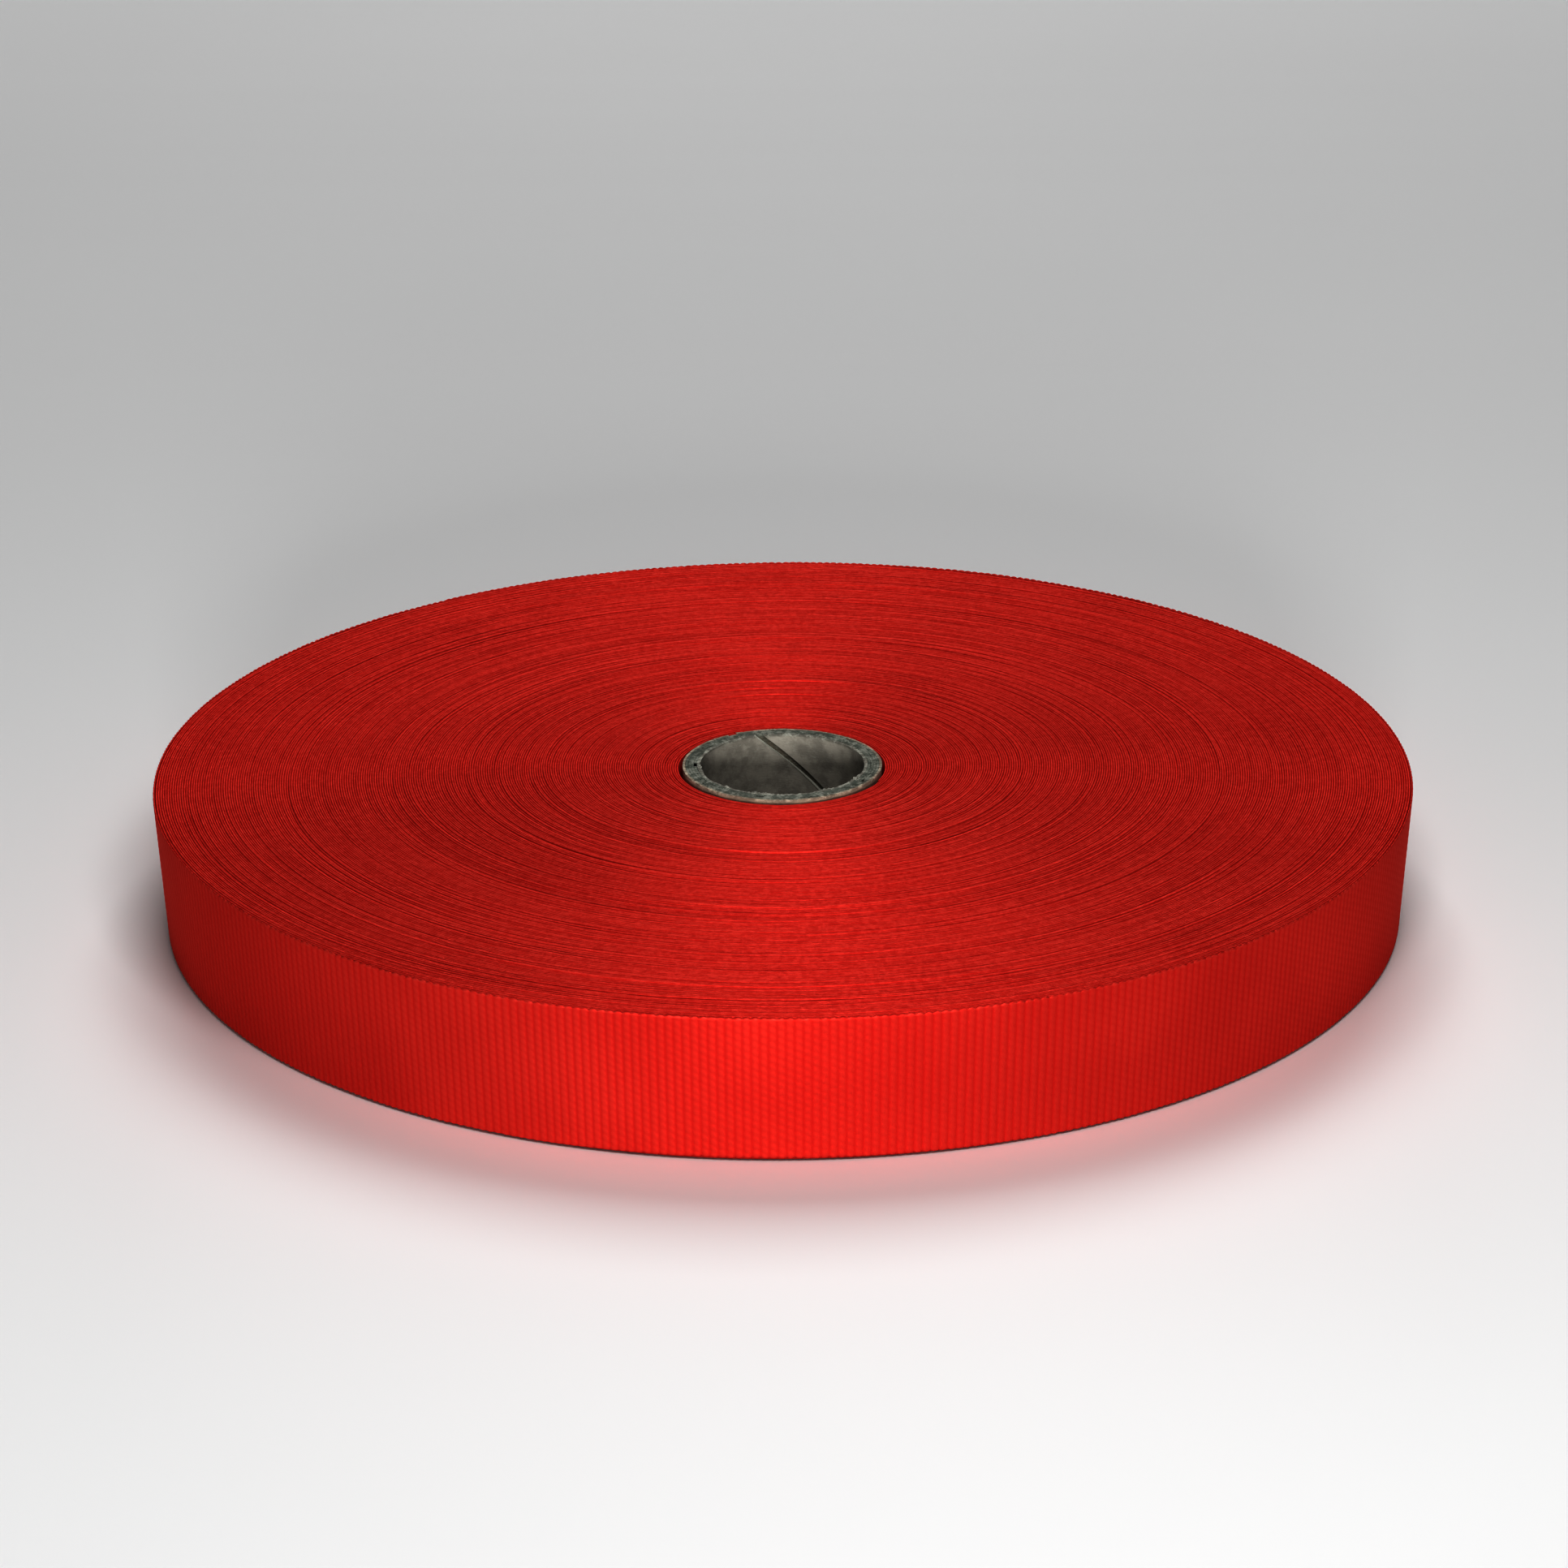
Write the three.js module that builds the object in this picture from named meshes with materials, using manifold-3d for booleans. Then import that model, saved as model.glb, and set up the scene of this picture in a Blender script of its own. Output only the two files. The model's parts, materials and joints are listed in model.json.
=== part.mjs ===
// A flat roll of ribbed woven tape, wound on a spiral-wound board core.
// +Z is the roll's axis, and z = 0 is the face that the roll lies on. The tape winds anticlockwise
// as it goes outwards, seen from above, and its loose end is a chain of hinged sections.
import * as THREE from "three";
import { mergeVertices } from "three/addons/utils/BufferGeometryUtils.js";
import Module from "manifold-3d";

const wasm = await Module();
wasm.setup();

// The tape, in millimetres.
const TAPE_WIDTH = 25.4;
const TAPE_THICKNESS = 0.36;
const TAPE_LENGTH = 91440;
const ROLL_RADIUS = 110; // at the upper edge, over the tape's free end
const FIRST_TURN_RADIUS = 18;
const LOWER_EDGE_TIGHTNESS = 0.0168; // the lower selvedge is thinner, so its turns stack up less

// The core.
const CORE_INNER_RADIUS = 14.5;
const CORE_OUTER_RADIUS = 17.5;
const CORE_BOTTOM = 0.2;
const CORE_TOP = 25.2;
const PLY_COUNT = 6;
const GLUE_LINE = 0.04;
const SEAM_WIDTH = 0.9; // the open butt joint between the edges of a ply's strip
const SEAM_LEAD = 78; // how far up a seam climbs in one full turn
const LINER_SEAM_AZIMUTH = 106; // degrees, where the innermost ply's seam meets the upper rim
const SEAM_STAGGER = 75; // degrees from one ply's seam to the next

// The strip that holds the tape's inner end to the core.
const STARTER_THICKNESS = 0.14;
const STARTER_HEIGHT = 19;
const STARTER_ARC = 64; // degrees
const STARTER_AZIMUTH = 30;

// The loose end. Angles in degrees: the free end is at 0, and the tape behind it is at minus angles.
const FREE_END_AZIMUTH = 126;
const SECTION_COUNT = 12;
const SECTION_ARC = 6;
const SECTION_GAP = 0.6; // between neighbouring sections, with the hinge in its middle
const EDGE_CLEARANCE = 0.2; // keeps the sections off the surface that the roll lies on

// The adhesive tab that holds the free end down.
const TAB_THICKNESS = 0.12;
const TAB_HEIGHT = 18;
const TAB_BACK_ARC = 5; // on the loose end
const TAB_FRONT_ARC = 7; // on the turn below, past the free end
const TAB_STEP_ARC = 3; // where it comes down the step at the free end
const TAB_GAP = 0.05;

// How finely round faces are faceted, in degrees.
const FACET = 2;
const CORE_FACET = 5;

const FULL_TURN = 360;
const RADIAN = Math.PI / 180;
const TAIL_ARC = SECTION_COUNT * SECTION_ARC;
const HALF_GAP = SECTION_GAP / 2 / ROLL_RADIUS / RADIAN;
const ROLL_AREA = Math.PI * (ROLL_RADIUS ** 2 - FIRST_TURN_RADIUS ** 2);
const WINDING_PITCH = ROLL_AREA / TAPE_LENGTH;

const PAPER = { roughness: 0.9, metalness: 0 };
const LINER_BOARD = new THREE.MeshStandardMaterial({ color: 0x5f5a4e, ...PAPER });
const GREY_BOARD = new THREE.MeshStandardMaterial({ color: 0x7f8474, ...PAPER });
const COVER_BOARD = new THREE.MeshStandardMaterial({ color: 0xb3ab92, ...PAPER });
const WOVEN_RED = new THREE.MeshStandardMaterial({ color: 0xc01712, roughness: 0.55, metalness: 0 });
const STARTER_FILM = new THREE.MeshStandardMaterial({ color: 0xc9b98a, roughness: 0.4, metalness: 0 });
const TAB_FILM = new THREE.MeshStandardMaterial({ color: 0xe8e6dc, roughness: 0.25, metalness: 0 });

// The radius of the tape's outer face at the upper edge, at an angle along the winding.
function outerFace(angle) {
  return ROLL_RADIUS + (WINDING_PITCH * angle) / FULL_TURN;
}

// The outer face of the turn below, where the tape is one turn back.
function turnBelow(angle) {
  return outerFace(angle - FULL_TURN);
}

// A radius given at the upper edge, brought down to height z along the leaning turns.
function leaningRadius(radius, z) {
  const tightening = LOWER_EDGE_TIGHTNESS * (1 - z / TAPE_WIDTH);
  return radius - (radius - FIRST_TURN_RADIUS) * tightening;
}

function leanWithTheTurns(geometry) {
  const position = geometry.getAttribute("position");
  for (let i = 0; i < position.count; i += 1) {
    const radius = Math.hypot(position.getX(i), position.getY(i));
    const share = leaningRadius(radius, position.getZ(i)) / radius;
    position.setXY(i, position.getX(i) * share, position.getY(i) * share);
  }
  return geometry;
}

// A point on the tape at an angle along the winding.
function windingPoint(angle, radius) {
  const azimuth = (FREE_END_AZIMUTH + angle) * RADIAN;
  return new THREE.Vector2(radius * Math.cos(azimuth), radius * Math.sin(azimuth));
}

// Angles from one end to the other, with the facet boundaries that lie between them.
function facetAngles(from, to, facet) {
  const angles = [from];
  const first = Math.floor(from / facet + 1) * facet;
  for (let angle = first; angle < to - facet / 4; angle += facet) angles.push(angle);
  angles.push(to);
  return angles;
}

function uprightExtrusion(shape, low, high) {
  const geometry = new THREE.ExtrudeGeometry(shape, { depth: high - low, bevelEnabled: false });
  return geometry.translate(0, 0, low);
}

// A curved strip standing on its edge, between two radii that may change along it.
function strip(from, to, innerRadius, outerRadius, low, high, facet = FACET) {
  const angles = facetAngles(from, to, facet);
  const outside = angles.map((angle) => windingPoint(angle, outerRadius(angle)));
  const inside = angles.map((angle) => windingPoint(angle, innerRadius(angle)));
  return uprightExtrusion(new THREE.Shape([...outside, ...inside.reverse()]), low, high);
}

// All the turns up to the loose end: a spiral outline with a step where the loose end begins.
function windingGeometry() {
  const end = -TAIL_ARC - HALF_GAP;
  const angles = facetAngles(end - FULL_TURN, end, FACET);
  const shape = new THREE.Shape(angles.map((angle) => windingPoint(angle, outerFace(angle))));
  const eye = facetAngles(0, FULL_TURN, CORE_FACET).slice(1);
  shape.holes.push(new THREE.Path(eye.map((angle) => windingPoint(angle, FIRST_TURN_RADIUS))));
  return leanWithTheTurns(uprightExtrusion(shape, 0, TAPE_WIDTH));
}

function tailSectionGeometry(index) {
  const start = -TAIL_ARC + index * SECTION_ARC + HALF_GAP;
  const isLast = index === SECTION_COUNT - 1;
  const end = isLast ? 0 : start + SECTION_ARC - 2 * HALF_GAP;
  const innerFace = (angle) => outerFace(angle) - TAPE_THICKNESS;
  const high = TAPE_WIDTH - EDGE_CLEARANCE;
  return leanWithTheTurns(strip(start, end, innerFace, outerFace, EDGE_CLEARANCE, high));
}

// The tab's inner face lies on the loose end, comes down the step and lies on the turn below.
function tabInnerFace(angle) {
  const down = THREE.MathUtils.clamp((angle - 1) / TAB_STEP_ARC, 0, 1);
  return THREE.MathUtils.lerp(outerFace(angle), turnBelow(angle), down) + TAB_GAP;
}

function closingTabGeometry() {
  const outer = (angle) => tabInnerFace(angle) + TAB_THICKNESS;
  const low = (TAPE_WIDTH - TAB_HEIGHT) / 2;
  const facet = FACET / 2;
  const tab = strip(-TAB_BACK_ARC, TAB_FRONT_ARC, tabInnerFace, outer, low, low + TAB_HEIGHT, facet);
  return leanWithTheTurns(tab);
}

function starterStripGeometry() {
  const from = STARTER_AZIMUTH - FREE_END_AZIMUTH;
  const inner = () => (CORE_OUTER_RADIUS + FIRST_TURN_RADIUS - STARTER_THICKNESS) / 2;
  const outer = () => inner() + STARTER_THICKNESS;
  const low = (TAPE_WIDTH - STARTER_HEIGHT) / 2;
  return strip(from, from + STARTER_ARC, inner, outer, low, low + STARTER_HEIGHT, CORE_FACET);
}

function solidFrom(geometry) {
  const bare = geometry.clone();
  bare.deleteAttribute("normal");
  bare.deleteAttribute("uv");
  const merged = mergeVertices(bare);
  const vertProperties = merged.getAttribute("position").array;
  const triVerts = new Uint32Array(merged.index.array);
  return new wasm.Manifold(new wasm.Mesh({ numProp: 3, vertProperties, triVerts }));
}

function geometryFrom(solid) {
  const { vertProperties, triVerts } = solid.getMesh();
  const indexed = new THREE.BufferGeometry();
  indexed.setAttribute("position", new THREE.BufferAttribute(vertProperties, 3));
  indexed.setIndex(new THREE.BufferAttribute(triVerts, 1));
  const flat = indexed.toNonIndexed();
  flat.computeVertexNormals();
  return flat;
}

function tubeGeometry(innerRadius, outerRadius, low, high) {
  const profile = [
    [innerRadius, low],
    [outerRadius, low],
    [outerRadius, high],
    [innerRadius, high],
    [innerRadius, low],
  ].map(([radius, height]) => new THREE.Vector2(radius, height));
  return new THREE.LatheGeometry(profile, FULL_TURN / CORE_FACET).rotateX(Math.PI / 2);
}

// A thin upright slab through the tube wall, twisted so that it follows a ply's seam.
function seamSlabGeometry(wallRadius, topAzimuth) {
  const steps = 24;
  const margin = 2;
  const length = CORE_TOP - CORE_BOTTOM + 2 * margin;
  const slab = new THREE.BoxGeometry(margin, SEAM_WIDTH, length, 1, 1, steps);
  slab.translate(wallRadius, 0, (CORE_TOP + CORE_BOTTOM) / 2);
  const position = slab.getAttribute("position");
  const up = new THREE.Vector3(0, 0, 1);
  const point = new THREE.Vector3();
  for (let i = 0; i < position.count; i += 1) {
    point.fromBufferAttribute(position, i);
    const below = (CORE_TOP - point.z) / SEAM_LEAD;
    point.applyAxisAngle(up, topAzimuth * RADIAN - 2 * Math.PI * below);
    position.setXYZ(i, point.x, point.y, point.z);
  }
  return slab;
}

// One wrap of board strip: a full tube, open along its helical seam.
function plyGeometry(index) {
  const pitch = (CORE_OUTER_RADIUS - CORE_INNER_RADIUS + GLUE_LINE) / PLY_COUNT;
  const innerRadius = CORE_INNER_RADIUS + index * pitch;
  const outerRadius = innerRadius + pitch - GLUE_LINE;
  const topAzimuth = LINER_SEAM_AZIMUTH + index * SEAM_STAGGER;
  const tube = solidFrom(tubeGeometry(innerRadius, outerRadius, CORE_BOTTOM, CORE_TOP));
  const slab = solidFrom(seamSlabGeometry((innerRadius + outerRadius) / 2, topAzimuth));
  return geometryFrom(tube.subtract(slab));
}

function namedMesh(name, geometry, material) {
  const mesh = new THREE.Mesh(geometry, material);
  mesh.name = name;
  return mesh;
}

function buildCore() {
  const core = new THREE.Group();
  for (let index = 0; index < PLY_COUNT; index += 1) {
    const isLiner = index === 0;
    const isCover = index === PLY_COUNT - 1;
    const middle = isCover ? ["core_outer_cover", COVER_BOARD] : [`core_ply_${index + 1}`, GREY_BOARD];
    const [name, board] = isLiner ? ["core_inner_liner", LINER_BOARD] : middle;
    core.add(namedMesh(name, plyGeometry(index), board));
  }
  return core;
}

function buildTape() {
  const tape = new THREE.Group();
  tape.add(namedMesh("starter_strip", starterStripGeometry(), STARTER_FILM));
  tape.add(namedMesh("tape_winding", windingGeometry(), WOVEN_RED));
  for (let index = 0; index < SECTION_COUNT; index += 1) {
    tape.add(namedMesh(`tape_tail_${index + 1}`, tailSectionGeometry(index), WOVEN_RED));
  }
  tape.add(namedMesh("closing_tab", closingTabGeometry(), TAB_FILM));
  return tape;
}

const roll = new THREE.Group();
roll.name = "tape_roll";
roll.add(buildCore(), buildTape());

export default roll;
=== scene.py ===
"""The looks of a flat roll of ribbed woven tape on a spiral-wound board core.

The tape is modelled as it is wound: one strip that goes round the core about 227 times, for the
length it is assumed to have, with its selvedges and the small unevenness of every turn. It is cut
into stretches, so that each stays a mesh of modest size, and the loose end into pieces that each
span one hinge.
The weave is geometry on the outermost turn and the loose end, and material on the turns below.
"""

import json
import math

import bpy
import numpy as np
from mathutils import Euler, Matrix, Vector


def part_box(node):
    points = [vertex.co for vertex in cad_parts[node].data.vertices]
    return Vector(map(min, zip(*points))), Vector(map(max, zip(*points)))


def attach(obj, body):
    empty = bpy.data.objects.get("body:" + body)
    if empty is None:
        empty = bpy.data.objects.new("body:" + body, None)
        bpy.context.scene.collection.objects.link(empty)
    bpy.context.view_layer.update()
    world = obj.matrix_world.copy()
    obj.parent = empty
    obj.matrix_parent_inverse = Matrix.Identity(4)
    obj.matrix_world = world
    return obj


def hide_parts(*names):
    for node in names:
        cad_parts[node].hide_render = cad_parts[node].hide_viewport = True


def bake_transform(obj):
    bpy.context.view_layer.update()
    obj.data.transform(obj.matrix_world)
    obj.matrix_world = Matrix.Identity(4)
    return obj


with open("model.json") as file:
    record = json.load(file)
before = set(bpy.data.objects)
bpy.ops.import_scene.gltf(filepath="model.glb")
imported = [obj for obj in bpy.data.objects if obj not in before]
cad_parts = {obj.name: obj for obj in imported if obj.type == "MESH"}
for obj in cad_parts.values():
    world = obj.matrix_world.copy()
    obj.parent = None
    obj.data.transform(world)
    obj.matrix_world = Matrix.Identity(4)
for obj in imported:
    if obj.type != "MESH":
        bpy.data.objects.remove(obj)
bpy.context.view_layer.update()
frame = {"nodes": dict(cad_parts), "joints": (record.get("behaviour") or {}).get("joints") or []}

MM = 0.001


def node_radii(node):
    """The least and greatest distance of a CAD node's vertices from the roll's axis."""
    points = [v.co for v in frame["nodes"][node].data.vertices]
    radii = [math.hypot(p.x, p.y) for p in points]
    return min(radii), max(radii)


# ---------------------------------------------------------------- sizes, from the frame

JOINTS = frame["joints"]
HINGE_AZIMUTHS = [math.atan2(j["pos_m"][1], j["pos_m"][0]) for j in JOINTS]
SECTION_ARC = HINGE_AZIMUTHS[1] - HINGE_AZIMUTHS[0]
SECTION_COUNT = len(JOINTS)
FREE_END_AZIMUTH = HINGE_AZIMUTHS[0] + SECTION_COUNT * SECTION_ARC
SECTION_TURNS = SECTION_ARC / (2 * math.pi)

WINDING_LOW, WINDING_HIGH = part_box("tape_winding")
ROLL_TOP = WINDING_HIGH.z
ROLL_RADIUS = node_radii(f"tape_tail_{SECTION_COUNT}")[1]
FIRST_TURN_RADIUS = node_radii("tape_winding")[0]
CORE_LOW, CORE_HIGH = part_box("core_inner_liner")

# ---------------------------------------------------------------- the tape

TAPE_LENGTH = 91.44  # assumed, as is the thickness: neither shows in the photo
TAPE_THICKNESS = 0.36 * MM
TAPE_WIDTH = ROLL_TOP - 0.65 * MM
LOWEST_EDGE = 0.12 * MM
# How much smaller the winding is at its lower edge. It comes from a fit to the outline in the photo,
# which a straight-sided roll in a tilted picture fits as well, so the lean may not be real.
LOWER_EDGE_TIGHTNESS = 0.0168
OUTER_MIDDLE = ROLL_RADIUS - TAPE_THICKNESS / 2
INNER_MIDDLE = FIRST_TURN_RADIUS + TAPE_THICKNESS / 2
WINDING_PITCH = math.pi * (OUTER_MIDDLE**2 - INNER_MIDDLE**2) / TAPE_LENGTH
PRESSED_TURN = 0.985 * WINDING_PITCH  # an inner turn, with the ribs that fill the gap below it
RIBS_ROUND = 511
RIB_PITCH = 2 * math.pi * ROLL_RADIUS / RIBS_ROUND
YARN_PITCH = 1.28 * MM  # from one raised warp yarn to the next, along a rib
YARN_SLANT = 0.45  # how far a yarn leans while it crosses a rib, in yarn pitches
RIB_DEPTH = 0.050 * MM
YARN_DEPTH = 0.024 * MM
LOOP_HEIGHT = 0.20 * MM  # how far the weft loops stand out of the selvedge
ROWS_PER_YARN = 4
WRAP = 2048  # ribs after which the weave's own coordinate starts again, to keep it precise


def turns_at(distance):
    """Turns from the free end (0, and minus inwards) at a distance along the tape from the core."""
    length_left = (TAPE_LENGTH - distance) / (2 * math.pi)
    root = np.sqrt(OUTER_MIDDLE**2 - 2 * WINDING_PITCH * length_left)
    return (root - OUTER_MIDDLE) / WINDING_PITCH


def distance_at(turns):
    """The distance along the tape from the core, turns from the free end."""
    return TAPE_LENGTH + 2 * math.pi * (OUTER_MIDDLE * turns + WINDING_PITCH * turns**2 / 2)


def smooth_noise(distance, spacing, seed):
    """Random values from -1 to 1, one for each spacing along the tape, joined smoothly."""
    rng = np.random.default_rng(seed)
    values = rng.uniform(-1, 1, int(TAPE_LENGTH / spacing) + 3)
    place = np.maximum(distance, 0) / spacing
    cell = np.minimum(place.astype(int), len(values) - 2)
    t = place - cell
    t = t * t * (3 - 2 * t)
    return values[cell] * (1 - t) + values[cell + 1] * t


# Turns that lie proud of their neighbours, or sunk: share of the roll's radius, turns, lift.
UNEVEN_TURNS = (
    (0.225, 2.0, -0.18 * MM),
    (0.30, 1.2, 0.14 * MM),
    (0.382, 1.0, 0.34 * MM),
    (0.41, 2.5, -0.15 * MM),
    (0.50, 1.2, 0.18 * MM),
    (0.60, 1.6, 0.26 * MM),
    (0.635, 3.0, -0.16 * MM),
    (0.70, 1.2, 0.22 * MM),
    (0.79, 1.5, -0.18 * MM),
    (0.885, 1.4, 0.32 * MM),
    (0.93, 1.0, 0.16 * MM),
)
# The face isn't flat either: lift of the turns by share of the roll's radius.
FACE_SHARES = (0.165, 0.18, 0.20, 0.25, 0.36, 0.47, 0.53, 0.60, 0.68, 0.80, 0.90, 1.0)
FACE_LIFTS = (-0.10, -0.06, 0.10, 0.26, 0.54, 0.68, 0.68, 0.46, 0.28, 0.24, 0.34, 0.28)


def edge_lift(distance, turns):
    """How far the tape has wandered up at each place: the unevenness of the wound edges."""
    share = 1 + WINDING_PITCH * turns / ROLL_RADIUS
    lift = np.interp(share, FACE_SHARES, FACE_LIFTS) * MM
    lift += 0.085 * MM * smooth_noise(distance, 0.31, 1)
    lift += 0.065 * MM * smooth_noise(distance, 0.062, 2)
    lift += 0.040 * MM * smooth_noise(distance, 0.013, 3)
    lift += 0.022 * MM * smooth_noise(distance, 0.0017, 4)
    fading = 0.65 + 0.35 * smooth_noise(distance, 0.17, 5)
    for place, width, height in UNEVEN_TURNS:
        away = np.abs(share - place) * ROLL_RADIUS / WINDING_PITCH
        lift += height * fading * np.clip(1.5 - away / (width / 2 + 0.35), 0, 1)
    return np.maximum(lift, -0.1 * MM)


def rib_count(distance):
    """Ribs from the tape's inner end. The weft isn't beaten up quite evenly."""
    uneven = 0.55 * smooth_noise(distance, 0.057, 7) + 0.16 * smooth_noise(distance, 0.012, 8)
    return distance / RIB_PITCH + uneven


def woven_relief(ribs, height):
    """How far the weave stands out at a rib count and a height: 0 in the valleys between ribs.
    Each warp yarn passes over one rib and under the next, and leans as it crosses."""
    across = ribs - np.floor(ribs)
    rib = np.sin(math.pi * across) ** 0.8
    turned = height / YARN_PITCH + 0.5 * np.floor(ribs) + YARN_SLANT * across
    yarn = 0.5 + 0.5 * np.cos(2 * math.pi * turned)
    return rib * (RIB_DEPTH - YARN_DEPTH + YARN_DEPTH * yarn)


def section_points(fine):
    """The tape's cross-section, once round: for each point the share of the thickness inwards,
    the share of the width upwards, and how far its edge is rounded off there."""
    if not fine:
        return [
            (1.00, 1, 0.16 * MM),
            (0.72, 1, 0.02 * MM),
            (0.28, 1, 0.02 * MM),
            (0.00, 1, 0.16 * MM),
            (0.00, 0, 0.03 * MM),
            (1.00, 0, 0.03 * MM),
        ]
    edge = [(0.10, 0.10 * MM), (0.36, 0.01 * MM), (0.64, 0.01 * MM), (0.90, 0.10 * MM)]
    rows = np.linspace(0.012, 0.988, int(TAPE_WIDTH / YARN_PITCH * ROWS_PER_YARN))
    outer = [(0.0, share, 0.0) for share in rows[::-1]]
    inner = [(1.0, share, 0.0) for share in rows]
    top = [(inward, 1, rounding) for inward, rounding in reversed(edge)]
    bottom = [(inward, 0, rounding) for inward, rounding in edge]
    return top + outer + bottom + inner


def mesh_from_rings(name, rings, uvs, close_ends=True):
    """A tube mesh from an array of rings (rings x points x 3), with a UV for each ring and point."""
    count, width = rings.shape[:2]
    ring = np.arange(count - 1)[:, None] * width
    point = np.arange(width)[None, :]
    after = (point + 1) % width
    quads = np.stack([ring + point, ring + after, ring + width + after, ring + width + point], -1)
    quads = quads.reshape(-1, 4)
    faces = quads.tolist()
    if close_ends:
        faces.append(list(range(width - 1, -1, -1)))
        faces.append(list(range((count - 1) * width, count * width)))
    mesh = bpy.data.meshes.new(name)
    mesh.from_pydata(rings.reshape(-1, 3).tolist(), [], faces)
    layer = mesh.uv_layers.new(name="weave")
    corner = np.empty(len(mesh.loops), np.int64)
    mesh.loops.foreach_get("vertex_index", corner)
    values = uvs.reshape(-1, 2)[corner].astype(np.float64)
    lowest = values[: len(quads) * 4, 0].reshape(-1, 4).min(1)
    values[: len(quads) * 4, 0] -= np.repeat(np.floor(lowest / WRAP) * WRAP, 4)
    values[len(quads) * 4 :, 0] %= WRAP
    layer.data.foreach_set("uv", values.astype(np.float32).ravel())
    mesh.shade_smooth()
    ends = np.empty(len(mesh.edges) * 2, np.int64)
    mesh.edges.foreach_get("vertices", ends)
    ends = ends.reshape(-1, 2)
    round_an_end = (ends < width).all(1) | (ends >= (count - 1) * width).all(1)
    sharp = mesh.attributes.new("sharp_edge", "BOOLEAN", "EDGE")
    sharp.data.foreach_set("value", round_an_end)
    mesh.validate()
    piece = bpy.data.objects.new(name, mesh)
    bpy.context.scene.collection.objects.link(piece)
    return piece


def leaning(radius, height):
    """A radius given at the upper edge, brought down to a height along the leaning turns."""
    tightening = LOWER_EDGE_TIGHTNESS * (1 - height / ROLL_TOP)
    return radius - (radius - FIRST_TURN_RADIUS) * tightening


def tape_piece(name, start, end, step, fine=False):
    """A stretch of the tape between two places given in turns from the free end."""
    first, last = distance_at(start), distance_at(end)
    distance = np.linspace(first, last, int(math.ceil((last - first) / step)) + 1)
    turns = turns_at(distance)
    azimuth = FREE_END_AZIMUTH + 2 * math.pi * turns
    outer = ROLL_RADIUS + WINDING_PITCH * turns
    lift = edge_lift(distance, turns)
    ribs = rib_count(distance)
    crest = np.abs(np.sin(math.pi * ribs)) ** 0.8
    amount = 1 + 0.35 * smooth_noise(distance, RIB_PITCH, 6)
    section = section_points(fine)
    thickness = TAPE_THICKNESS if fine else PRESSED_TURN
    rings = np.empty((len(distance), len(section), 3))
    uvs = np.empty((len(distance), len(section), 2))
    for i, (inward, share, rounding) in enumerate(section):
        height = LOWEST_EDGE + share * TAPE_WIDTH + lift
        depth = inward * thickness
        on_edge = share in (0, 1)
        if on_edge:
            loop = (1 - crest) * LOOP_HEIGHT * amount if fine else 0
            height = height + (rounding + loop) * (1 if share == 0 else -1)
        if fine:
            side = 1 - 2 * inward
            relief = woven_relief(ribs, height - lift)
            depth = depth + side * (RIB_DEPTH - relief)
        height = np.maximum(height, 0.01 * MM)
        radius = leaning(outer - depth, height)
        rings[:, i, 0] = radius * np.cos(azimuth)
        rings[:, i, 1] = radius * np.sin(azimuth)
        rings[:, i, 2] = height
        uvs[:, i, 0] = ribs
        uvs[:, i, 1] = (height - lift) / YARN_PITCH
    piece = mesh_from_rings(name, rings, uvs)
    piece["length"] = last - first
    return piece


# ---------------------------------------------------------------- nodes for materials


class Nodes:
    """A short way to write a material's node tree."""

    def __init__(self, name):
        self.material = bpy.data.materials.new(name)
        self.material.use_nodes = True
        self.tree = self.material.node_tree
        self.shader = self.tree.nodes["Principled BSDF"]

    def add(self, kind, **settings):
        node = self.tree.nodes.new(kind)
        for key, value in settings.items():
            setattr(node, key, value)
        return node

    def link(self, source, target):
        self.tree.links.new(source, target)

    def put(self, socket, value):
        if isinstance(value, bpy.types.NodeSocket):
            self.link(value, socket)
        else:
            socket.default_value = value

    def math(self, operation, *values):
        node = self.add("ShaderNodeMath", operation=operation)
        for socket, value in zip(node.inputs, values):
            self.put(socket, value)
        return node.outputs[0]

    def ramp(self, value, low, high, to_low=0.0, to_high=1.0):
        node = self.add("ShaderNodeMapRange", interpolation_type="SMOOTHSTEP")
        for socket, number in zip(node.inputs, (value, low, high, to_low, to_high)):
            self.put(socket, number)
        return node.outputs[0]

    def noise(self, vector, scale, detail=2.0, roughness=0.5):
        node = self.add("ShaderNodeTexNoise")
        self.link(vector, node.inputs["Vector"])
        node.inputs["Scale"].default_value = scale
        node.inputs["Detail"].default_value = detail
        node.inputs["Roughness"].default_value = roughness
        return node.outputs["Fac"]

    def mix(self, share, first, second):
        node = self.add("ShaderNodeMix", data_type="RGBA")
        self.put(node.inputs["Factor"], share)
        self.put(node.inputs["A"], first)
        self.put(node.inputs["B"], second)
        return node.outputs["Result"]

    def bump(self, height, distance, strength=1.0):
        node = self.add("ShaderNodeBump")
        node.inputs["Strength"].default_value = strength
        node.inputs["Distance"].default_value = distance
        self.link(height, node.inputs["Height"])
        self.link(node.outputs["Normal"], self.shader.inputs["Normal"])

    def position(self):
        return self.add("ShaderNodeTexCoord").outputs["Object"]

    def stretched(self, vector, scale):
        node = self.add("ShaderNodeMapping")
        self.link(vector, node.inputs["Vector"])
        node.inputs["Scale"].default_value = scale
        return node.outputs["Vector"]

    def set(self, **values):
        for key, value in values.items():
            self.shader.inputs[key.replace("_", " ")].default_value = value


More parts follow.
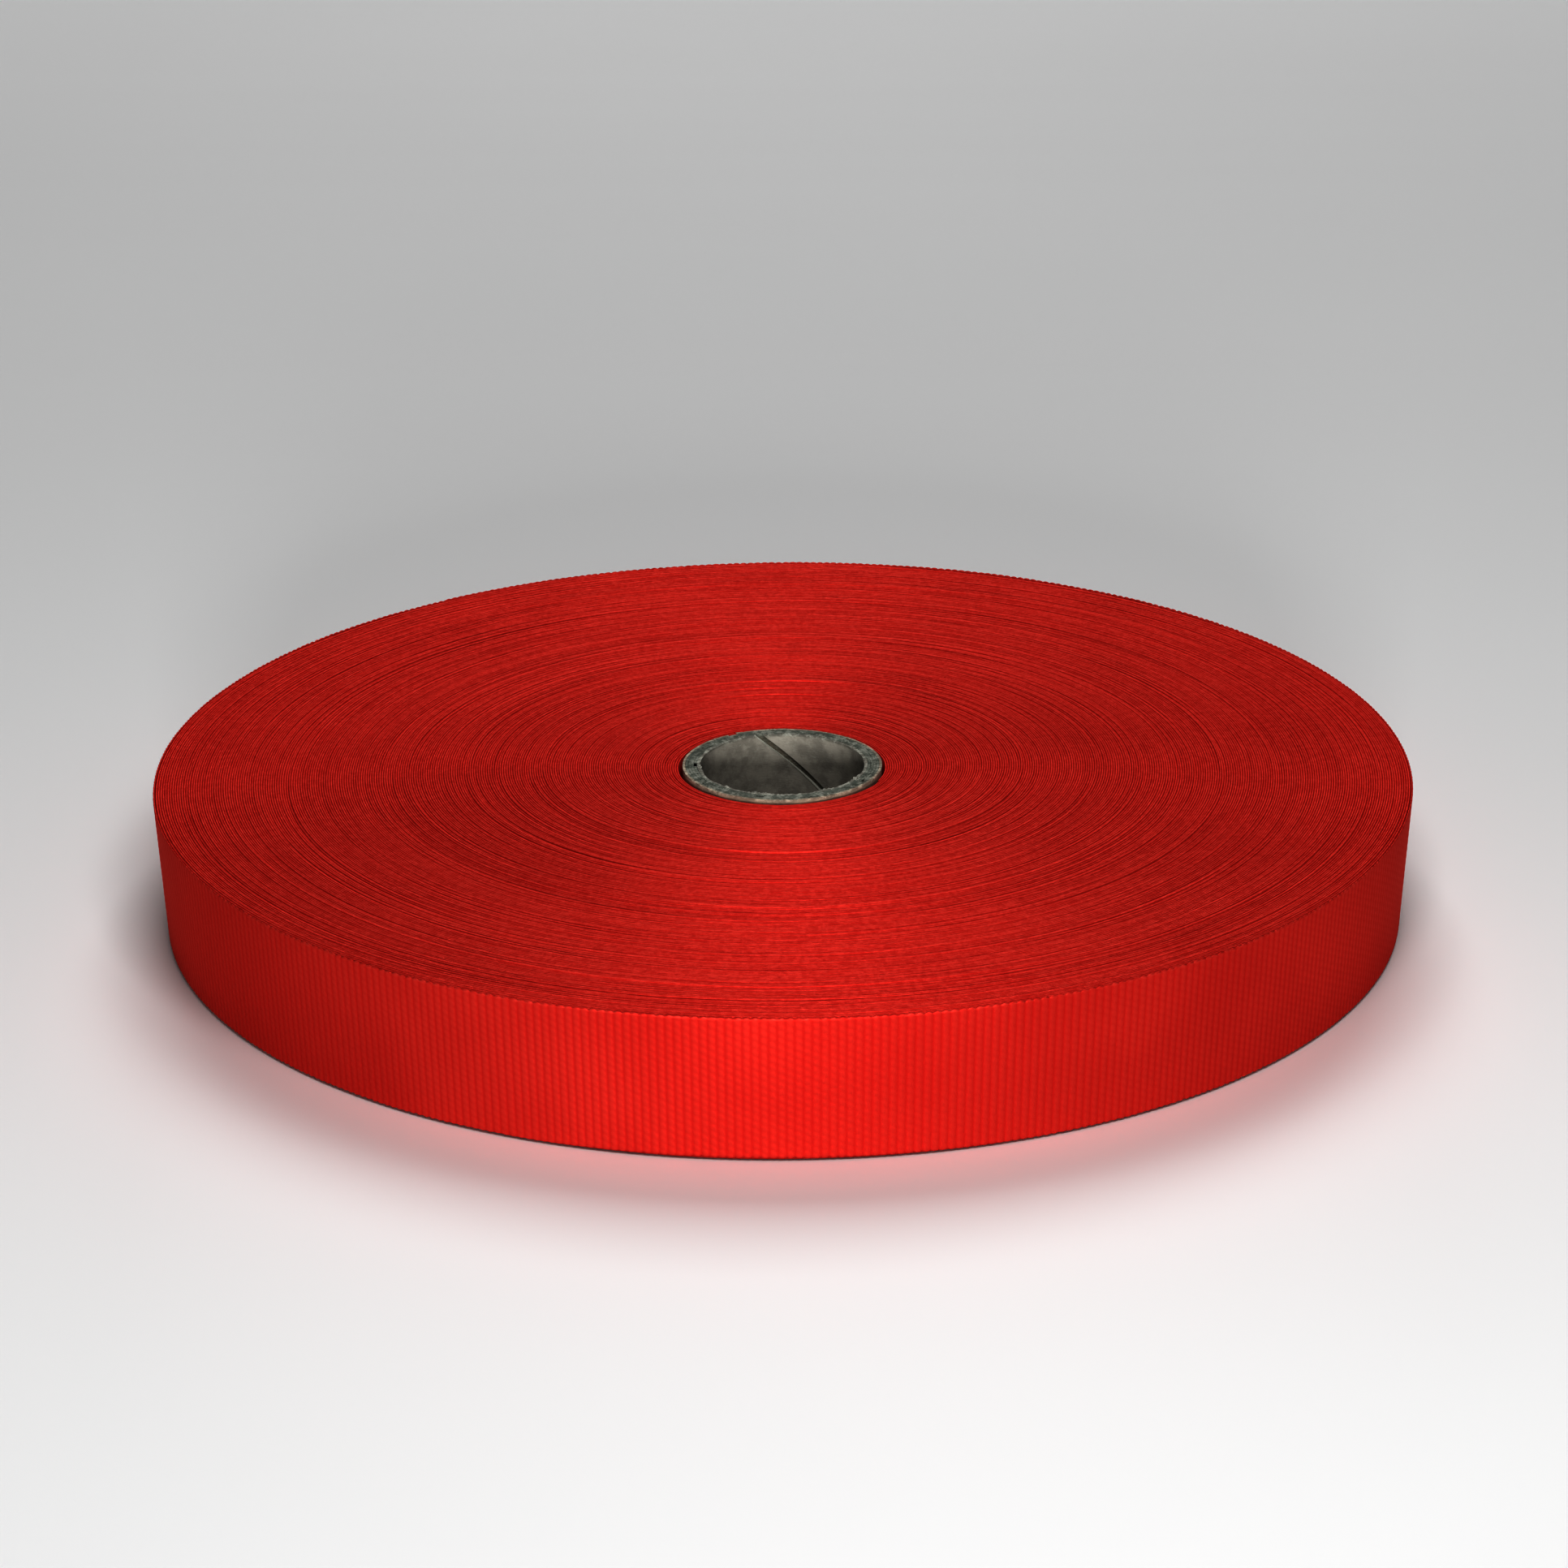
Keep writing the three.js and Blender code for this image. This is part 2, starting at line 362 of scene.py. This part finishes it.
def woven_red():
    """Red ribbed tape: satin warp yarns over thick weft ribs, with fine filaments along the tape.
    Its colour has painted shade in the rib valleys, lighter painted crests, and a painted highlight
    along the selvedge.
    """
    n = Nodes("woven_red")
    weave = n.add("ShaderNodeUVMap", uv_map="weave").outputs["UV"]
    axes = n.add("ShaderNodeSeparateXYZ")
    n.link(weave, axes.inputs[0])
    along, across = axes.outputs[0], axes.outputs[1]
    in_rib = n.math("FRACT", along)
    crest = n.math("SINE", n.math("MULTIPLY", in_rib, math.pi))
    half_step = n.math("MULTIPLY", n.math("FLOOR", along), 0.5)
    leaned = n.math("ADD", half_step, n.math("MULTIPLY", in_rib, YARN_SLANT))
    turned = n.math("MULTIPLY", n.math("ADD", across, leaned), 2 * math.pi)
    yarn = n.math("MULTIPLY_ADD", n.math("COSINE", turned), 0.5, 0.5)
    place = n.position()
    filaments = n.noise(n.stretched(weave, (1.3, 9.0, 1.0)), 1.0, 3.0, 0.65)
    patches = n.noise(place, 38.0, 3.0, 0.55)
    grain = n.noise(place, 900.0, 3.0, 0.7)
    woven = n.math("MULTIPLY", crest, n.math("MULTIPLY_ADD", yarn, 0.35, 0.65))
    upper_edge = (LOWEST_EDGE + TAPE_WIDTH) / YARN_PITCH
    selvedge = n.ramp(across, upper_edge - 0.45, upper_edge - 0.15)
    evened = n.math("MULTIPLY", selvedge, 0.7)
    even_part = n.math("MULTIPLY", evened, 0.62)
    woven = n.math("MULTIPLY_ADD", woven, n.math("SUBTRACT", 1.0, evened), even_part)
    height = n.math("MULTIPLY_ADD", filaments, 0.45, n.math("MULTIPLY", woven, 0.35))
    height = n.math("MULTIPLY_ADD", grain, 0.35, height)
    n.bump(height, 0.04 * MM, 0.6)
    # Painted shade and highlight: the base colour is darker in the rib valleys and lighter on the
    # rib crests, as light falls on the ribs, mixed with random grain.
    depth = n.ramp(n.math("MULTIPLY_ADD", grain, 0.5, woven), 0.1, 1.2)
    valley_shade_and_dark_grain, lit_crest_and_light_grain = (0.57, 0.045, 0.034, 1), (0.63, 0.072, 0.053, 1)
    colour = n.mix(depth, valley_shade_and_dark_grain, lit_crest_and_light_grain)
    darker = (0.44, 0.020, 0.015, 1)
    streaks = n.noise(n.stretched(weave, (0.014, 0.02, 1.0)), 1.0, 2.0, 0.55)
    colour = n.mix(n.ramp(streaks, 0.35, 0.65, 0.0, 0.30), colour, darker)
    colour = n.mix(n.ramp(patches, 0.35, 0.7, 0.0, 0.20), colour, darker)
    # Painted highlight: grainy dots of a lighter red along the selvedge band at each turn's upper
    # edge, where the weft loops would catch the light.
    loops = n.math("MULTIPLY", selvedge, n.ramp(grain, 0.42, 0.62, 0.0, 0.45))
    colour = n.mix(loops, colour, (0.70, 0.11, 0.085, 1))
    n.link(colour, n.shader.inputs["Base Color"])
    n.link(n.ramp(height, 0.2, 0.9, 0.70, 0.52), n.shader.inputs["Roughness"])
    n.set(Metallic=0.6, Specular_IOR_Level=0.16, Specular_Tint=(1.0, 0.42, 0.34, 1))
    return n.material


def board(name, face, light, dark, wall, fluff):
    """Recycled board: a mottled felt of short fibres, paler and fluffier along its cut edges.
    The UV map holds millimetres from the seam's edge and below the sawn rim."""
    n = Nodes(name)
    place = n.position()
    cut_edges = n.add("ShaderNodeUVMap", uv_map="weave").outputs["UV"]
    axes = n.add("ShaderNodeSeparateXYZ")
    n.link(cut_edges, axes.inputs[0])
    from_seam, below_rim = axes.outputs[0], axes.outputs[1]
    cloud = n.noise(place, 260.0, 4.0, 0.6)
    fibres = n.noise(n.stretched(place, (1.0, 1.0, 2.5)), 1300.0, 3.0, 0.7)
    tufts = n.noise(place, 620.0, 3.0, 0.75)
    on_wall = n.ramp(n.math("MULTIPLY_ADD", tufts, 0.5, below_rim), 0.3, 0.75)
    colour = n.mix(on_wall, face, wall)
    colour = n.mix(n.ramp(cloud, 0.36, 0.62, 0.75, 0.0), colour, dark)
    colour = n.mix(n.ramp(fibres, 0.5, 0.75, 0.0, 0.4), colour, light)
    torn_rim = n.math("MULTIPLY", n.ramp(below_rim, 0.5, 0.0), n.ramp(tufts, 0.45, 0.62))
    torn_seam = n.math("MULTIPLY", n.ramp(from_seam, 0.45, 0.05), n.ramp(tufts, 0.25, 0.5))
    torn = n.math("MULTIPLY", n.math("MAXIMUM", torn_rim, torn_seam), fluff)
    colour = n.mix(torn, colour, light)
    n.link(colour, n.shader.inputs["Base Color"])
    n.link(n.ramp(fibres, 0.3, 0.7, 0.95, 0.78), n.shader.inputs["Roughness"])
    n.bump(n.math("ADD", fibres, n.math("MULTIPLY", cloud, 0.6)), 0.12 * MM, 0.7)
    n.set(Specular_IOR_Level=0.3)
    return n.material


def adhesive_strip(name, base, shade, roughness):
    """A thin adhesive strip with a fine crepe and a slightly uneven film."""
    n = Nodes(name)
    place = n.position()
    crepe = n.noise(n.stretched(place, (1.0, 1.0, 0.25)), 2400.0, 3.0, 0.6)
    cloud = n.noise(place, 160.0, 3.0, 0.55)
    n.link(n.mix(n.ramp(cloud, 0.35, 0.7), base, shade), n.shader.inputs["Base Color"])
    n.link(n.ramp(crepe, 0.3, 0.7, roughness, roughness + 0.15), n.shader.inputs["Roughness"])
    n.bump(crepe, 0.04 * MM, 0.8)
    return n.material


# ---------------------------------------------------------------- the camera and the studio

CAMERA_ELEVATION = math.radians(21.083)
CAMERA_DISTANCE = 8.0114 * ROLL_RADIUS  # from the middle of the upper face
CAMERA_LENS = 115.43
CAMERA_ROLL = math.radians(-0.382)
AIM = Vector((0, 0, ROLL_TOP))


def add_camera():
    data = bpy.data.cameras.new("camera")
    data.lens = CAMERA_LENS
    data.sensor_width = 36
    data.shift_x = 0.0011
    data.shift_y = -0.0134
    camera = bpy.data.objects.new("camera", data)
    back = Vector((0, -math.cos(CAMERA_ELEVATION), math.sin(CAMERA_ELEVATION)))
    camera.location = AIM + back * CAMERA_DISTANCE
    turn = Euler((math.pi / 2 - CAMERA_ELEVATION, 0, 0)).to_quaternion()
    camera.rotation_mode = "QUATERNION"
    camera.rotation_quaternion = turn @ Euler((0, 0, CAMERA_ROLL)).to_quaternion()
    bpy.context.scene.collection.objects.link(camera)
    bpy.context.scene.camera = camera


def add_area_light(name, azimuth, elevation, distance, size, power):
    """A square softbox aimed at the roll. Azimuth 0 is the camera's side, plus is to the right."""
    data = bpy.data.lights.new(name, "AREA")
    data.shape = "SQUARE"
    data.size = size
    data.energy = power
    light = bpy.data.objects.new(name, data)
    a, e = math.radians(azimuth), math.radians(elevation)
    away = Vector((math.sin(a) * math.cos(e), -math.cos(a) * math.cos(e), math.sin(e)))
    light.location = AIM + away * distance
    light.rotation_mode = "QUATERNION"
    light.rotation_quaternion = away.to_track_quat("Z", "Y")
    bpy.context.scene.collection.objects.link(light)


# The lights' powers and the display's gamma were fitted to the photo together, so the contrast that
# they give is partly the display's: with a gamma of 1 the tape looks paler and flatter.
DISPLAY_GAMMA = 0.55
WORLD_STRENGTH = 0.05
# Each softbox: name, azimuth, elevation, distance, size, power.
SOFTBOXES = (
    ("front_softbox", 0, 6, 3.0, 0.6, 86),
    ("near_softbox", 8, 50, 0.6, 0.25, 2.0),
    ("back_softbox", 178, 50, 2.6, 1.5, 41),
    ("rear_softbox", 180, 6, 3.0, 0.6, 10),
)


def add_studio():
    for softbox in SOFTBOXES:
        add_area_light(*softbox)
    world = bpy.data.worlds.new("studio")
    world.use_nodes = True
    world.node_tree.nodes["Background"].inputs["Color"].default_value = (0.9, 0.9, 0.9, 1)
    world.node_tree.nodes["Background"].inputs["Strength"].default_value = WORLD_STRENGTH
    bpy.context.scene.world = world
    bpy.context.scene.view_settings.view_transform = "Standard"
    bpy.context.scene.view_settings.gamma = DISPLAY_GAMMA


def add_floor():
    n = Nodes("pale_floor")
    cloud = n.noise(n.position(), 3.0, 2.0, 0.5)
    n.link(n.mix(cloud, (0.80, 0.80, 0.80, 1), (0.84, 0.84, 0.84, 1)), n.shader.inputs["Base Color"])
    n.set(Roughness=0.8, Specular_IOR_Level=0.2)
    mesh = bpy.data.meshes.new("floor")
    reach = 6.0
    corners = [(-reach, -reach, 0), (reach, -reach, 0), (reach, reach, 0), (-reach, reach, 0)]
    mesh.from_pydata(corners, [], [(0, 1, 2, 3)])
    floor = bpy.data.objects.new("floor", mesh)
    mesh.materials.append(n.material)
    bpy.context.scene.collection.objects.link(floor)


# ---------------------------------------------------------------- the tape's pieces

WOVEN_RED = woven_red()
STRETCH_COUNT = 5
COARSE_STEP = RIB_PITCH
FINE_STEP = RIB_PITCH / 6
FINE_TURNS = 1.03  # how much of the tape before the loose end has its weave modelled
FINE_PIECES = 6  # few enough triangles in each


def dress_tape(piece, *nodes):
    piece.data.materials.append(WOVEN_RED)
    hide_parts(*nodes)


def add_wound_tape():
    """All the turns up to the loose end, as stretches of equal length and one of modelled ribs."""
    root = -(SECTION_COUNT + 0.5) * SECTION_TURNS
    fine_start = root - FINE_TURNS
    inner_end = turns_at(np.array(0.0)).item()
    places = np.linspace(0.0, distance_at(fine_start), STRETCH_COUNT + 1)
    starts = [inner_end] + [turns_at(np.array(p)).item() for p in places[1:]]
    for i in range(STRETCH_COUNT):
        piece = tape_piece(f"tape_turns_{i + 1}", starts[i], starts[i + 1], COARSE_STEP)
        dress_tape(piece, "tape_winding")
        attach(piece, "roll")
    ends = np.linspace(fine_start, root, FINE_PIECES + 1)
    for i in range(FINE_PIECES):
        piece = tape_piece(f"tape_outer_turn_{i + 1}", ends[i], ends[i + 1], FINE_STEP, fine=True)
        dress_tape(piece, "tape_winding")
        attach(piece, "roll")


def add_loose_end():
    """The loose end, cut at the middle of each section, so that each piece spans one hinge."""
    for i, joint in enumerate(JOINTS):
        hinge = (i - SECTION_COUNT) * SECTION_TURNS
        start = hinge - SECTION_TURNS / 2
        bent = hinge + SECTION_TURNS / 2
        end = 0.0 if i == SECTION_COUNT - 1 else bent
        piece = tape_piece(f"tape_loose_end_{i + 1}", start, end, FINE_STEP, fine=True)
        dress_tape(piece, f"tape_tail_{i + 1}")
        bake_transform(piece)


# ---------------------------------------------------------------- the core

MIDDLE_PLIES = [f"core_ply_{i}" for i in range(2, 6)]
PLY_NODES = ["core_inner_liner", *MIDDLE_PLIES, "core_outer_cover"]
SEAM_LEAD = 78 * MM  # how far up a seam climbs in one full turn
SEAM_WIDTH = 0.9 * MM
CORE_FACET = math.radians(5)  # the CAD tube's facets, whose flats lie inside its true bore
LINER_SEAM_AZIMUTH = math.radians(106)  # where the liner's seam meets the upper rim
SEAM_STAGGER = math.radians(75)


def ply_piece(index, node):
    """One wrap of board strip, cut along its helical seam, with a fibrous sawn rim."""
    inner, outer = node_radii(node)
    inner = inner / math.cos(CORE_FACET / 2)
    is_liner = index == 0
    rng = np.random.default_rng(100 + index)
    around, up = 720, 24
    climb = math.atan2(SEAM_LEAD, 2 * math.pi * inner)
    half_seam = SEAM_WIDTH / math.sin(climb) / (2 * inner)
    turn = np.linspace(half_seam, 2 * math.pi - half_seam, around + 1)
    from_seam = (turn - half_seam) * inner
    fray = rng.uniform(0, 1, around + 1)
    fray = (0.5 * np.roll(fray, 1) + fray + 0.5 * np.roll(fray, -1)) / 2
    slow = np.interp(turn, np.linspace(0, 2 * math.pi, 40), rng.uniform(0, 1, 40))
    frayed = fray * slow
    rise = (0.48 if is_liner else 0.20) * MM
    lean = (0.45 if is_liner else 0.0) * MM
    lip = (0.16 if is_liner else 0.0) * MM * np.exp(-from_seam / (0.35 * MM))
    top = CORE_HIGH.z
    heights = top - (top - CORE_LOW.z) * np.linspace(0, 1, up + 1)[::-1] ** 2
    columns = [(inner, height, -1) for height in heights]
    columns += [(outer, height, 1) for height in heights[::-1]]
    rings = np.empty((around + 1, len(columns), 3))
    uvs = np.empty((around + 1, len(columns), 2))
    for i, (wall, height, side) in enumerate(columns):
        at_rim = max(0.0, 1 - (top - height) / (0.7 * MM)) ** 2
        raised = height + at_rim * rise * (frayed - 0.15)
        radius = wall + (side < 0) * (-at_rim * lean * frayed - lip)
        azimuth = LINER_SEAM_AZIMUTH + index * SEAM_STAGGER + turn
        azimuth = azimuth - 2 * math.pi * (top - height) / SEAM_LEAD
        rings[:, i, 0] = radius * np.cos(azimuth)
        rings[:, i, 1] = radius * np.sin(azimuth)
        rings[:, i, 2] = raised
        uvs[:, i, 0] = from_seam / MM
        uvs[:, i, 1] = (top - height) / MM
    piece = mesh_from_rings(node + "_board", rings, uvs)
    piece.data.set_sharp_from_angle(angle=math.radians(60))
    return piece


def add_core():
    fibre = (0.46, 0.46, 0.41, 1)
    liner_wall = (0.42, 0.395, 0.35, 1)
    liner_face = (0.24, 0.235, 0.205, 1)
    liner_dark = (0.25, 0.235, 0.205, 1)
    liner = board("liner_board", liner_face, fibre, liner_dark, liner_wall, 1.0)
    grey_face = (0.20, 0.215, 0.185, 1)
    grey_dark = (0.10, 0.11, 0.09, 1)
    glued_wall = (0.17, 0.15, 0.12, 1)
    grey = board("grey_board", grey_face, fibre, grey_dark, glued_wall, 0.6)
    cover_face = (0.36, 0.31, 0.25, 1)
    cover_light = (0.62, 0.55, 0.45, 1)
    cover_dark = (0.24, 0.20, 0.16, 1)
    cover_wall = (0.42, 0.35, 0.27, 1)
    cover = board("cover_board", cover_face, cover_light, cover_dark, cover_wall, 0.8)
    for index, node in enumerate(PLY_NODES):
        piece = ply_piece(index, node)
        material, slot = grey, "core_grey_board"
        if node == "core_inner_liner":
            material, slot = liner, "core_liner_board"
        elif node == "core_outer_cover":
            material, slot = cover, "core_cover_board"
        piece.data.materials.append(material)
        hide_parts(node)
        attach(piece, "roll")


# ---------------------------------------------------------------- the two adhesive strips

TAB_TEETH = 12
TAB_TOOTH_DEPTH = 1.1 * MM
TAB_THICKNESS = 0.12 * MM
TAB_CREASE = 0.03 * MM


def edge_radii(points, height, pick):
    """Azimuths and radii along a CAD strip's inner (pick = min) or outer edge at one height."""
    radii = {}
    for p in points:
        if abs(p.z - height) < 0.01 * MM:
            azimuth = round(math.atan2(p.y, p.x), 5)
            radius = math.hypot(p.x, p.y)
            radii[azimuth] = pick(radii.get(azimuth, radius), radius)
    azimuths = sorted(radii)
    return azimuths, [radii[a] for a in azimuths]


def add_closing_tab():
    """The tab of creped paper tape: torn off on a toothed blade, and pressed down over the step."""
    points = [v.co for v in frame["nodes"]["closing_tab"].data.vertices]
    low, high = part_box("closing_tab")
    lower_edge = edge_radii(points, low.z, min)
    upper_edge = edge_radii(points, high.z, min)
    first, last = upper_edge[0][0], upper_edge[0][-1]
    length = (last - first) * ROLL_RADIUS
    rows = np.linspace(0, 1, TAB_TEETH * 4 + 1)
    along = np.linspace(0, 1, 121)
    section = [(0, share) for share in rows] + [(1, share) for share in rows[::-1]]
    rng = np.random.default_rng(11)
    creases = rng.uniform(-1, 1, (25, 6))
    rings = np.empty((len(along), len(section), 3))
    uvs = np.empty((len(along), len(section), 2))
    for i, (side, share) in enumerate(section):
        tooth = 2 * abs(share * TAB_TEETH % 1 - 0.5) * TAB_TOOTH_DEPTH / length
        place = tooth + along * (1 - TAB_TOOTH_DEPTH / length)
        azimuth = first + place * (last - first)
        height = low.z + share * (high.z - low.z)
        inner_low = np.interp(azimuth, *lower_edge)
        inner_high = np.interp(azimuth, *upper_edge)
        across = [np.interp(share * 5, range(6), row) for row in creases]
        crease = np.interp(place * 24, range(25), across)
        radius = inner_low + share * (inner_high - inner_low)
        radius = radius + (1 + crease) * TAB_CREASE + side * TAB_THICKNESS
        rings[:, i, 0] = radius * np.cos(azimuth)
        rings[:, i, 1] = radius * np.sin(azimuth)
        rings[:, i, 2] = height
        uvs[:, i, 0] = place * length / MM
        uvs[:, i, 1] = share * (high.z - low.z) / MM
    piece = mesh_from_rings("paper_tab", rings, uvs)
    piece.data.set_sharp_from_angle(angle=math.radians(50))
    piece.data.materials.append(
        adhesive_strip("tab_paper", (0.80, 0.74, 0.60, 1), (0.72, 0.65, 0.50, 1), 0.6)
    )
    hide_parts("closing_tab")
    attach(piece, JOINTS[-1]["child"])


def add_starter_strip():
    strip = adhesive_strip("starter_film", (0.55, 0.45, 0.26, 1), (0.44, 0.35, 0.2, 1), 0.35)
    frame["nodes"]["starter_strip"].data.materials.clear()
    frame["nodes"]["starter_strip"].data.materials.append(strip)


add_camera()
add_wound_tape()
add_loose_end()
add_core()
add_starter_strip()
add_closing_tab()
add_floor()
add_studio()
